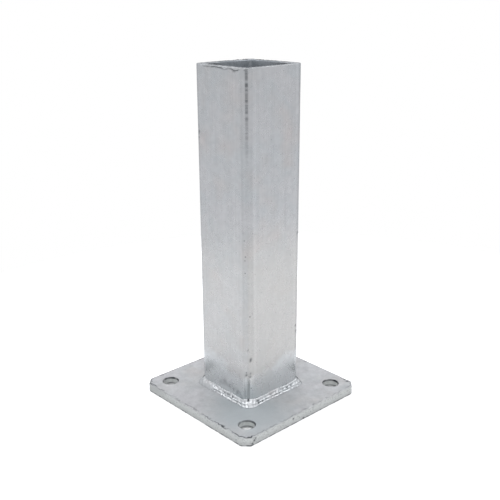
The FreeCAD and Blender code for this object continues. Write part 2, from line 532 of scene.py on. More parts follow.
    def soiling(self, lay: Lay, place_mm: Socket) -> Socket:
        """Lay the marks of each rolled corner.

        A broken dark line lies along its middle near the open end, pits lie further down, and dark tears
        hang over the weld. Down the left and right corners the line, there painted shade, and a band of
        painted shade run all the way.

        Args:
            lay: adds a node to the material's tree.
            place_mm: the place, in millimetres.

        Returns:
            How dark the coat is, from 0 to 1.
        """
        near, _ = self.nearness(lay, place_mm)
        parts = lay(SPLIT, place_mm).node.outputs
        height = parts["Z"]
        dashes = lay(Kind("ShaderNodeTexNoise", {"noise_dimensions": "1D"}), inputs={
            "W": lay(DIVIDE, height, self.dash_mm), "Scale": 1.0, "Detail": 1.0})
        edge = [self.corner_line_mm + gap for gap in self.line_edge_mm]
        dashed = lay(RANGE, dashes, *self.dash_span, *self.dash_strength)
        line = lay(MULTIPLY, lay(RANGE, near, *edge), dashed)
        # painted shade: the line and a band all the way down the left and right corners
        aside = lay(LESS, lay(MULTIPLY, parts["X"], parts["Y"]), 0.0)
        shown = lay(MAXIMUM, lay(RANGE, height, *self.line_rise_mm, self.line_start, 1.0),
                    lay(MULTIPLY, aside, self.side_line))
        edge_shade_band = lay(MULTIPLY, lay(RANGE, near, *self.band_near_mm, 0.0, self.side_band), aside)
        edge_shade_band = lay(MULTIPLY, edge_shade_band, lay(RANGE, height, *self.band_rise_mm, 0.5, 1.0))
        line = lay(MAXIMUM, lay(MULTIPLY, line, shown), edge_shade_band)
        streaks = lay(NOISE, lay(DIVIDE_PARTS, place_mm, self.tear_mm), 2.0, 1.0, 1.0)
        tears = lay(MULTIPLY, lay(RANGE, streaks, *self.tear_span, 0.0, self.tear_share),
                    lay(RANGE, near, *self.tear_near_mm))
        tears = lay(MAXIMUM, tears, lay(RANGE, near, *self.core_near_mm, 0.0, self.core_share))
        tears = lay(MULTIPLY, tears, lay(RANGE, height, *self.tear_rise_mm, 1.0, 0.0))
        pits = lay(MULTIPLY, self.specks(lay, place_mm, self.pit_gap_mm, self.pit_mm, self.pit_share),
                   lay(RANGE, near, *self.pit_near_mm, 0.0, self.pit_depth))
        pits = lay(MULTIPLY, pits, lay(RANGE, height, *self.pit_rise_mm, 1.0, 0.0))
        return lay(MAXIMUM, line, lay(MAXIMUM, tears, pits))


@dataclass(frozen=True)
class PlateZinc(GalvanisedZinc):
    """The coat on the plate.

    It is thicker and more matt than the tube's and bluer round the tube's front corner. The holes' walls
    are painted light, near-white where their lower rims break away.
    """

    mottle_mm: float = 5.0
    mottle_depth: float = 0.07
    swell_height_mm: float = 0.03
    grit_height_mm: float = 0.03
    pale: str = "#c9c9ca"
    cool: str = "#c1c5c6"
    warm: str = "#cbc9c8"
    cut: str = "#d8dad8"
    fleck_depth: float = 0.32
    cut_height_mm: float = 0.2
    blue: str = "#bcc2c4"
    blue_share: float = 0.8
    blue_centre_mm: Point = (-36.0, -36.0, 8.0)
    blue_span_mm: Flat = (30.0, 50.0)       # distance over which the blue fades out
    blue_wander_mm: float = 22.0
    blue_swell_mm: float = 12.0     # one swell of its edge
    bore: str = "#e6e8e6"           # painted light on the holes' walls
    bore_share: float = 0.8
    bore_rise_mm: Flat = (0.3, 7.2)         # the holes' walls lie between these heights
    bore_reach_mm: float = 62.0     # and within this distance of both middle planes
    torn: str = "#f6f6f6"           # near-white painted light where their lower rims broke away, for light seen through the hole
    torn_rise_mm: Flat = (1.3, 1.9)         # height over which that ends

    def tinted(self, lay: Lay, place_mm: Socket) -> Socket:
        """Lay the zinc colour, bluer in a cloud, with painted light in the holes.

        Args:
            lay: adds a node to the material's tree.
            place_mm: the place, in millimetres.

        Returns:
            The colour.
        """
        colour = super().tinted(lay, place_mm)
        reach = lay(DISTANCE, place_mm, self.blue_centre_mm, output="Value")
        wander = lay(NOISE, place_mm, 0.0, 1 / self.blue_swell_mm, 2.0)
        reach = lay(ADD, reach, lay(MULTIPLY, wander, self.blue_wander_mm))
        blue = lay(RANGE, reach, *self.blue_span_mm, self.blue_share, 0.0)
        parts = lay(SPLIT, lay(ABSOLUTE_PARTS, place_mm)).node.outputs
        inner = lay(LESS, lay(MAXIMUM, parts["X"], parts["Y"]), self.bore_reach_mm)
        inner = lay(MULTIPLY, inner, lay(GREATER, parts["Z"], self.bore_rise_mm[0]))
        inner = lay(MULTIPLY, inner, lay(LESS, parts["Z"], self.bore_rise_mm[1]))
        # painted light: near-white low in the holes
        torn = lay(MULTIPLY, inner, lay(RANGE, parts["Z"], *self.torn_rise_mm, 1.0, 0.0))
        # painted light on the holes' walls
        bore = lay(MULTIPLY, inner, self.bore_share)
        for share, tint in ((blue, self.blue), (bore, self.bore), (torn, self.torn)):
            colour = lay(BLEND, share, inputs={FIRST: colour, SECOND: linear(tint)}, output=BLENDED)
        return colour


# ------------------------------------------------------------------ base plate

QUARTER_TURN = [math.radians(angle) for angle in (0, 22.5, 45, 67.5, 90)]


@dataclass(frozen=True)
class Chip:
    """A small sunken dark mark: a nick in an edge, a blowhole or a pit in the coat."""

    place: Point
    size: float

    def depth(self, x: float, y: float, z: float) -> float:
        """How deep in the mark a point lies, from 0 to 1."""
        return hump((Vector((x, y, z)) - Vector(self.place)).length, 0.0, self.size)


@dataclass
class BasePlate:
    """Square plate with clipped corners, four anchor holes and a drain hole, dipped in zinc once cut."""

    low: Vector
    high: Vector
    hole_centres: list[Flat]
    hole_radius: float
    drain_radius: float = 10.0
    clip: float = 6.0
    rounding: float = 1.5           # upright rounding where a clip meets a side
    edge_radius: float = 0.8        # zinc softens the cut edge
    hole_coat: float = 0.3          # thickness of the zinc in a hole
    rim_radius: float = 0.45        # the punch draws the upper rim of a hole in
    breakout: float = 2.15          # and breaks the lower rim away
    tear_height: float = 2.75       # painted shadow line in a hole here, where its wall starts to break away
    lip_height: float = 0.42        # zinc that stands round each hole
    lip_width: float = 0.7
    side_inset: float = 0.16        # the uneven sides and the top lie this far inside the solid,
    top_inset: float = 0.06         # so that their swells stay within it
    groove_depth: float = 0.12
    groove_width: float = 0.7
    nick_inward: float = 0.7        # how far a nick goes into a side
    nick_down: float = 0.6          # and into the top
    side_grit: Swell = Swell(0.10, 2.0, 1.0)
    side_swell: Swell = Swell(0.06, 5.0, 2.0)       # stretched along the side
    top_swell: Swell = Swell(0.05, 14.0, 3.0)
    tear_ash: Swell = Swell(0.5, 3.0, 13.0)
    rim_ash: Swell = Swell(0.7, 3.5, 12.0)
    foot_ash: Swell = Swell(0.8, 3.0, 4.0)          # painted contact shadow under the sides
    groove_gaps: Swell = Swell(1.6, 5.5, 7.0)
    groove_wander: Swell = Swell(1.5, 5.0, 8.0)
    groove_shake: Swell = Swell(2.0, 2.6, 6.0)
    side_steps: int = 212           # points along a side
    clip_steps: int = 15            # and along a clipped corner
    wall_steps: int = 12            # rings up a hole's wall
    turn_steps: int = 72            # points round a hole
    edge_reaches: tuple[float, ...] = (0.35, 0.75, 1.3, 2.1, 3.2)   # rings inside the edge's rounding
    hole_reaches: tuple[float, ...] = (0.3, 0.6, 1.0, 1.5)          # and outside a hole's
    grid: float = 4.0               # spacing of points inside the faces
    grid_inset: float = 5.5
    edge_margin: float = 5.0        # the grid keeps this far from the edge
    hole_margin: float = 3.5        # and from the holes
    chips: tuple[Chip, ...] = (
        Chip((-56.0, -65.0, 4.2), 1.0), Chip((-54.6, -65.0, 5.6), 0.7), Chip((-58.2, -64.8, 2.2), 0.9),
        Chip((-13.0, -65.0, 5.2), 0.8), Chip((-1.5, -65.0, 1.2), 0.9), Chip((3.0, -65.0, 0.8), 0.7),
        Chip((64.0, -49.5, 8.0), 1.2), Chip((63.6, -53.0, 8.0), 1.3), Chip((62.4, -56.5, 8.0), 1.3),
        Chip((-57.0, -65.0, 0.9), 0.7), Chip((-40.0, -52.0, 8.0), 0.5), Chip((-37.0, -37.5, 8.0), 0.6),
    )

    @property
    def half(self) -> float:
        """Half the plate's side."""
        return (self.high.x - self.low.x) / 2 / MM

    @property
    def thickness(self) -> float:
        """The plate's thickness."""
        return (self.high.z - self.low.z) / MM

    @property
    def slant(self) -> float:
        """Sum of the distances of a clipped corner's points from the plate's two middle planes."""
        return 2 * self.half - self.clip

    @staticmethod
    def line(start: Flat, end: Flat, steps: int) -> list[Flat]:
        """Evenly spaced points from start towards end, without the last."""
        return [tuple(Vector(start).lerp(Vector(end), i / steps)) for i in range(steps)]

    @staticmethod
    def bend(corner: Flat, start: float, radius: float) -> list[Flat]:
        """Round a corner whose direction turns by 45 degrees.

        Args:
            corner: the sharp corner.
            start: direction of the outward normal before the corner, in degrees.
            radius: the rounding.

        Returns:
            Three points, without the rounding's last.
        """
        middle = math.radians(start + 22.5)
        reach = radius / math.cos(math.radians(22.5))
        centre = (corner[0] - reach * math.cos(middle), corner[1] - reach * math.sin(middle))
        angles = [math.radians(start + 15 * i) for i in range(3)]
        return [(centre[0] + radius * math.cos(a), centre[1] + radius * math.sin(a)) for a in angles]

    def outline(self, inset: float) -> list[Flat]:
        """Plan outline, set in from the edge, always with the same number of points.

        Args:
            inset: distance inside the plate's edge.

        Returns:
            Points that run anticlockwise seen from above.
        """
        half = self.half - inset
        clip = self.clip - (2 - math.sqrt(2)) * inset
        radius = max(self.rounding - inset, 0.05)
        setback = radius * math.tan(math.radians(22.5))
        along = setback * math.sqrt(0.5)
        quarter = self.line((half, clip - half + setback), (half, half - clip - setback), self.side_steps)
        quarter += self.bend((half, half - clip), 0, radius)
        quarter += self.line((half - along, half - clip + along), (half - clip + along, half - along),
                             self.clip_steps)
        quarter += self.bend((half - clip, half), 45, radius)
        return [side.turned(x, y) for side in Side for x, y in quarter]

    def edge_profile(self) -> list[Flat]:
        """Rings round the edge, from the underside to the top face.

        Returns:
            Inset and height of each ring.
        """
        radius, top = self.edge_radius, self.thickness
        lower = [(radius * (1 - math.sin(a)), radius * (1 - math.cos(a))) for a in QUARTER_TURN]
        side = [(0.0, radius + (top - 2 * radius) * i / 9) for i in range(1, 9)]
        upper = [(inset, top - height) for inset, height in reversed(lower)]
        under = [(radius + reach, 0.0) for reach in reversed(self.edge_reaches)]
        return under + lower + side + upper + [(radius + reach, top) for reach in self.edge_reaches]

    def hole_profile(self, radius: float) -> list[Flat]:
        """Rings of a hole, from the underside up to the top face.

        Args:
            radius: the hole's radius inside its zinc.

        Returns:
            Radius and height of each ring.
        """
        broken, drawn, top = self.breakout, self.rim_radius, self.thickness
        lower = [(radius + broken * (1 - math.sin(a)), broken * (1 - math.cos(a))) for a in QUARTER_TURN]
        height = top - drawn - broken
        wall = [(radius, broken + height * i / self.wall_steps) for i in range(1, self.wall_steps)]
        upper = [(radius + drawn * (1 - math.cos(a)), top - drawn + drawn * math.sin(a))
                 for a in QUARTER_TURN]
        under = [(radius + broken + reach, 0.0) for reach in reversed(self.hole_reaches)]
        over = [(radius + drawn + reach, top) for reach in self.hole_reaches]
        return under + lower + wall + upper + over

    def circles(self) -> list[tuple[float, float, float]]:
        """Centre and radius of every hole."""
        anchors = [(x, y, self.hole_radius - self.hole_coat) for x, y in self.hole_centres]
        return anchors + [(0.0, 0.0, self.drain_radius)]

    def to_edge(self, x: float, y: float) -> float:
        """Distance of a point inside the plan outline."""
        return min(self.half - max(abs(x), abs(y)), (self.slant - abs(x) - abs(y)) / math.sqrt(2))

    def to_hole(self, x: float, y: float) -> float:
        """Distance of a point outside the nearest hole."""
        return min(math.hypot(x - cx, y - cy) - radius for cx, cy, radius in self.circles())

    def fill(self, skin: Skin, edge: list[int], holes: list[list[int]], height: float,
             upward: bool) -> None:
        """Fill a face between the edge's ring and the holes' rings.

        Args:
            skin: the skin that holds the rings.
            edge: the outer ring.
            holes: the ring round each hole.
            height: height of the face.
            upward: whether it faces up.
        """
        numbers: list[int] = []
        borders: list[tuple[int, int]] = []
        for ring in [edge] + holes:
            first = len(numbers)
            borders += [(first + i, first + (i + 1) % len(ring)) for i in range(len(ring))]
            numbers += ring
        reach = self.half - self.grid_inset
        steps = int(2 * reach / self.grid)
        ticks = [reach * (2 * i / steps - 1) for i in range(steps + 1)]
        inside = [(x, y, height) for x in ticks for y in ticks
                  if self.to_edge(x, y) > self.edge_margin and self.to_hole(x, y) > self.hole_margin]
        numbers += skin.ring(inside)
        flat = [Vector(skin.points[number][:2]) for number in numbers]
        _, _, faces, origins, _, _ = delaunay_2d_cdt(flat, borders, [], 1, 1e-6)
        rims = [set(hole) for hole in holes]
        for face in faces:
            triangle = [numbers[origins[v][0]] for v in face]
            if not any(rim.issuperset(triangle) for rim in rims):
                skin.faces.append(tuple(triangle if upward else reversed(triangle)))

    def zinc(self, point: Point) -> Touch:
        """Uneven coat, rough cut sides, standing lips round the holes and nicked edges.

        Args:
            point: a point of the plain plate.

        Returns:
            What is found there on the real one.
        """
        x, y, z = point
        top = smooth(z, self.thickness - 1.0, self.thickness - 0.3)
        gap = self.to_edge(x, y)
        side = 1 - smooth(gap, 0.2, 1.0)
        groove = self.run_off(x, y, gap - (self.thickness - z)) * top
        chip = max(chip.depth(x, y, z) for chip in self.chips)
        rough = self.side_grit.at(x, y, z) + self.side_swell.at(x, y, z * 2.5)
        inward = (self.side_inset + rough + self.nick_inward * chip) * side + self.groove_depth * groove
        lip = self.lip_height * hump(self.to_hole(x, y), self.rim_radius + self.lip_width, self.lip_width)
        lift = self.top_swell.at(x, y) + lip - self.top_inset
        lift = (lift - self.groove_depth * groove - self.nick_down * chip) * top
        outward = Vector((x, y)).normalized()
        moved = (x - outward.x * inward, y - outward.y * inward, z + lift)
        # the dark share holds the groove, chips, and the painted shade in the holes and along the edge
        soil = max(groove, chip, self.hole_ash(point), self.edge_ash(point, side, top))
        return Touch(moved, soil, side * (1 - 0.7 * top))

    def hole_ash(self, point: Point) -> float:
        """Painted shade in a hole: a dark ring under its upper rim, and a shadow line where its wall starts
        to break away.

        Args:
            point: a point of the plain plate.

        Returns:
            How dark the place is, up to 1.
        """
        x, y, z = point
        away = self.to_hole(x, y)
        tear = (1 - smooth(away, 0.2, 0.5)) * hump(z, self.tear_height, 0.6)
        rim = (1 - smooth(away, 0.5, 0.8)) * smooth(z, self.thickness - 1.6, self.thickness - 1.0)
        return max(tear * (0.6 + self.tear_ash.at(x, y)), rim * (0.8 + self.rim_ash.at(x, y)))

    def edge_ash(self, point: Point, side: float, top: float) -> float:
        """Painted shade on the edge: along the top's back and right edges, as a contact shadow at the foot
        of the sides, and on the sides, darker towards the bottom and on the left; and ash on the sides near
        the left corner.

        Args:
            point: a point of the plain plate.
            side: 1 on a side, 0 off it.
            top: 1 on the top, 0 off it.

        Returns:
            How dark the place is, up to 1.
        """
        x, y, z = point
        # painted shade along the top's back and right edges
        far = 0.45 * top * smooth(max(x, y), self.half - 1.2, self.half - 0.5)
        # painted contact shadow at the foot of the sides
        foot = side * (1 - smooth(z, 0.8, 1.7)) * (0.6 + self.foot_ash.at(x, y))
        # painted shade: the sides darker towards the bottom and on the left
        low_and_left_shade = 0.13 * (1 - smooth(z, 1.5, 6.0)) + 0.05 * smooth(-x, self.half - 1.5, self.half - 0.5)
        return max(far, foot, side * low_and_left_shade, side * 0.22 * self.left_end(x, y))

    def left_end(self, x: float, y: float) -> float:
        """How near a place is to the plate's left corner, from 0 to 1."""
        return smooth(y - x, self.slant - 32, self.slant - 12) * smooth(-x, self.half - 9, self.half - 5)

    def run_off(self, x: float, y: float, across: float) -> float:
        """Broken groove along the top edge, where the coat drew back as it froze.

        It is strongest along the left side's front half and at the front and left corners.

        Args:
            x: place along X.
            y: place along Y.
            across: distance from the edge's corner, positive over the top face.

        Returns:
            How deep in the groove the point lies, from 0 to 1.
        """
        left = smooth(-x, self.half - 3, self.half - 1) * (0.5 + 0.5 * (1 - smooth(y, -35, 10)))
        front = smooth(-x - y, self.slant - 7, self.slant - 4)
        end = self.left_end(x, y)
        broken = held(0.7 + 0.45 * end + self.groove_gaps.at(x, y))
        middle = 0.6 + self.groove_wander.at(x, y) + self.groove_shake.at(x, y)
        return max(left, front, 0.8 * end, 0.45) * broken * hump(across, middle, self.groove_width)

    def build(self, droplets: "DropletTree", material: bpy.types.Material) -> bpy.types.Object:
        """Make the plate's skin and dress it.

        Args:
            droplets: the tree that scatters droplets.
            material: the plate's zinc.

        Returns:
            The finished piece.
        """
        skin = Skin()
        edge = [skin.ring([(x, y, z) for x, y in self.outline(inset)])
                for inset, z in self.edge_profile()]
        skin.stack(edge)
        bottoms, tops = [], []
        turns = [-2 * math.pi * i / self.turn_steps for i in range(self.turn_steps)]
        for cx, cy, radius in self.circles():
            hole = [skin.ring([(cx + r * math.cos(a), cy + r * math.sin(a), z) for a in turns])
                    for r, z in self.hole_profile(radius)]
            skin.stack(hole)
            bottoms.append(hole[0])
            tops.append(hole[-1])
        self.fill(skin, edge[0], bottoms, 0.0, False)
        self.fill(skin, edge[-1], tops, self.thickness, True)
        skin.weather(self.zinc)
        piece = skin.build("plate_zinc_skin")
        droplets.apply(piece, {"Material": material, "Seed": 3})
        return piece


# ------------------------------------------------------------------ tube

@dataclass
class PostTube:
    """Square hollow section, sawn square at its open end and dipped in zinc."""

    low: Vector
    high: Vector
    wall: float = 4.0
    corner: float = 7.0             # outside radius of the rolled corners
    straight_steps: int = 34        # points along a wall
    corner_steps: int = 12          # and round a corner
    ring_gap: float = 1.6           # between two rings up the outside
    fine_gap: float = 0.4           # near the sawn end
    fine_band: float = 6.4          # which starts this far below it
    fine_rings: int = 15
    inner_steps: int = 70           # rings down the inside, closer together near the open end
    inner_start: float = 1.2        # the first of them lies this far below it
    coat_inset: float = 0.08        # the uneven coat lies this far inside the solid, so it stays within
    chip_depth: float = 0.4
    burr_depth: float = 0.45        # of the crevice under the saw burr
    burr_drop: float = 1.3          # how far that lies below the rim
    saw_depth: float = 0.30         # of the saw marks in the rim
    far_saw_depth: float = 1.7      # added at the back right corner
    coat_swell: Swell = Swell(0.05, 16.0, 1.0)      # both stretched along the tube
    coat_grit: Swell = Swell(0.02, 4.0, 2.0)
    saw_rag: Swell = Swell(1.0, 2.6, 5.0)
    saw_ash: Swell = Swell(1.0, 1.9, 15.0)
    burr_droop: Swell = Swell(0.35, 3.0, 6.0)
    burr_gaps: Swell = Swell(0.9, 4.0, 9.0)
    smear_wander: Swell = Swell(4.0, 7.0, 4.0)
    smear_patches: Swell = Swell(0.5, 3.0, 8.0)
    smear_height: float = 17.5
    smear_width: float = 2.8
    seam_width: float = 3.0         # ridge of the mill's seam weld, inside the front wall
    seam_height: float = 0.6
    chips: tuple[Chip, ...] = (
        Chip((-30.0, -17.0, 275.4), 1.0), Chip((-28.6, -27.0, 276.4), 0.6), Chip((-28.8, -26.6, 35.2), 0.8),
        Chip((-26.6, -28.8, 34.0), 0.9), Chip((-26.2, -28.9, 36.4), 0.7), Chip((-26.0, -29.0, 49.8), 0.9),
        Chip((-26.2, -28.9, 47.9), 0.8), Chip((-28.0, -27.7, 57.8), 0.5), Chip((-29.6, 25.4, 231.0), 1.0),
        Chip((-29.6, 25.0, 226.5), 1.4), Chip((-29.6, 25.6, 222.0), 1.1), Chip((-29.6, 25.4, 106.0), 0.9),
        Chip((25.2, -29.6, 145.5), 0.9), Chip((24.6, -29.7, 64.0), 0.8), Chip((25.4, -29.6, 58.5), 1.2),
    )

    @property
    def half(self) -> float:
        """Half the tube's side."""
        return (self.high.x - self.low.x) / 2 / MM

    @property
    def foot(self) -> float:
        """Height of the tube's lower end."""
        return self.low.z / MM

    @property
    def top(self) -> float:
        """Height of the tube's open end."""
        return self.high.z / MM

    def outline(self, inset: float) -> list[Flat]:
        """Plan outline set in from the outside, anticlockwise seen from above.

        Args:
            inset: distance inside the outer surface.

        Returns:
            The same number of points for every inset.
        """
        half = self.half - inset
        radius = self.corner - inset
        flat = half - radius
        quarter = [(flat * (2 * i / self.straight_steps - 1), -half) for i in range(self.straight_steps)]
        turns = [math.pi / 2 * i / self.corner_steps for i in range(self.corner_steps)]
        quarter += [(flat + radius * math.sin(a), -flat - radius * math.cos(a)) for a in turns]
        return [side.turned(x, y) for side in Side for x, y in quarter]

    def profile(self) -> list[Flat]:
        """Rings up the outside, over the rim and down the inside.

        Returns:
            Inset and height of each ring.
        """
        fine_start = self.top - self.fine_band
        coarse = round((fine_start - self.foot) / self.ring_gap)
        outside = [(0.0, self.foot + (fine_start - self.foot) * i / coarse) for i in range(coarse)]
        outside += [(0.0, fine_start + self.fine_gap * i) for i in range(self.fine_rings)]
        rim = [(0.02, self.top - 0.45), (0.10, self.top - 0.22), (0.28, self.top - 0.07), (0.5, self.top)]
        flat = [(inset, self.top) for inset in (1.0, 1.6, 2.4, 3.0)]
        inner_rim = [(self.wall - inset, height) for inset, height in reversed(rim)]
        start, steps = self.top - self.inner_start, self.inner_steps
        inside = [(self.wall, start - (start - self.foot) * (i / steps) ** 1.3) for i in range(steps + 1)]
        return outside + rim + flat + inner_rim + inside

    def zinc(self, point: Point) -> Touch:
        """Uneven coat, sawn rim with its burr, and the seam inside.

        Args:
            point: a point of the plain tube.

        Returns:
            What is found there on the real one.
        """
        x, y, z = point
        centre = self.half - self.corner
        bend = Vector((max(abs(x) - centre, 0), max(abs(y) - centre, 0)))
        reach = centre + bend.length
        outward = Vector((math.copysign(bend.x, x), math.copysign(bend.y, y))).normalized()
        outside = smooth(reach, self.half - 1.2, self.half - 0.4)
        inside = 1 - smooth(reach, self.half - self.wall + 0.2, self.half - self.wall + 0.9)
        swell = self.coat_swell.at(x, y, z * 0.35) + self.coat_grit.at(x, y, z * 0.5)
        chip = max(chip.depth(x, y, z) for chip in self.chips)
        # the burr's crevice is sunk in and painted dark as shade
        burr = self.burr(point) * outside
        move = (swell - self.coat_inset - self.chip_depth * chip - self.burr_depth * burr) * outside
        if y < -centre:
            move -= self.seam_height * max(0.0, 1 - (2 * x / self.seam_width) ** 2) * inside
        drop, ash = self.saw_marks(point)
        sawn = smooth(z, self.top - 0.3, self.top - 0.05)
        # painted shade inside the tube: a duller, darker coat, more of it towards the back right
        shaded = 0.3 + 0.5 * smooth(x + y, 6.0, 32.0)
        return Touch((x + outward.x * move, y + outward.y * move, z - drop),
                     max(chip, burr, ash, self.smear(point)), max(0.35 * sawn, shaded * inside))

    def saw_marks(self, point: Point) -> tuple[float, float]:
        """Ragged marks of the saw in the open end and ash on them, both more at the back right, over
        painted shade that darkens the whole rim top.

        Args:
            point: a point of the plain tube.

        Returns:
            How far the rim drops there and how dark it is, up to 1.
        """
        x, y, z = point
        far = smooth(x + y, 2 * self.half - 30, 2 * self.half - 14)
        ragged = self.saw_depth + self.far_saw_depth * far
        drop = ragged * smooth(z, self.top - 0.6, self.top) * abs(self.saw_rag.at(x, y))
        spots = 0.4 + 0.45 * smooth(x + y, 0.0, 10.0) + (0.3 + ragged) * self.saw_ash.at(x, y)
        # painted shade: the whole rim top stays at least this dark, dimming its bright band; ash spots come
        # on top
        return drop, smooth(z, self.top - 0.5, self.top - 0.2) * max(held(spots), 0.2)

    def burr(self, point: Point) -> float:
        """Crevice under the zinc-covered saw burr that hangs along the left wall's top edge, painted dark
        as shade.

        Args:
            point: a point of the plain tube.

        Returns:
            How deep in the crevice the point lies, from 0 to 1.
        """
        x, y, z = point
        if x > 1 - self.half:
            return 0.0
        along = smooth(y, -24.0, -20.0) * (1 - smooth(y, 14.0, 19.0))
        droop = 0.9 * hump(y, -6.0, 3.0) + 1.1 * hump(y, -18.0, 3.5) + self.burr_droop.at(0.0, y)
        strength = max(held(0.75 + self.burr_gaps.at(0.0, y)), 0.1)
        return along * strength * hump(z, self.top - self.burr_drop - droop, 0.5)

    def smear(self, point: Point) -> float:
        """Ash that the draining zinc left on the left wall, just over the weld.

        Args:
            point: a point of the plain tube.

        Returns:
            How dark the place is, from 0 to 1.
        """
        x, y, z = point
        if x > 1 - self.half:
            return 0.0
        along = smooth(y, -25.0, -20.0) * (1 - smooth(y, 2.0, 9.0))
        height = self.smear_height + 0.12 * (y + 8.0) + self.smear_wander.at(0.0, y)
        patchy = 0.26 + self.smear_patches.at(0.0, y, z)
        return along * max(patchy, 0.0) * hump(z, height, self.smear_width)

    def build(self, droplets: "DropletTree", material: bpy.types.Material) -> bpy.types.Object:
        """Make the tube's skin and dress it.

        Args:
            droplets: the tree that scatters droplets.
            material: the tube's zinc.

        Returns:
            The finished piece.
        """
        skin = Skin()
        rings = [skin.ring([(x, y, z) for x, y in self.outline(inset)]) for inset, z in self.profile()]
        skin.stack(rings + rings[:1])
        skin.weather(self.zinc)
        piece = skin.build("tube_zinc_skin")
        droplets.apply(piece, {"Material": material, "Seed": 8})
        return piece


# ------------------------------------------------------------------ weld

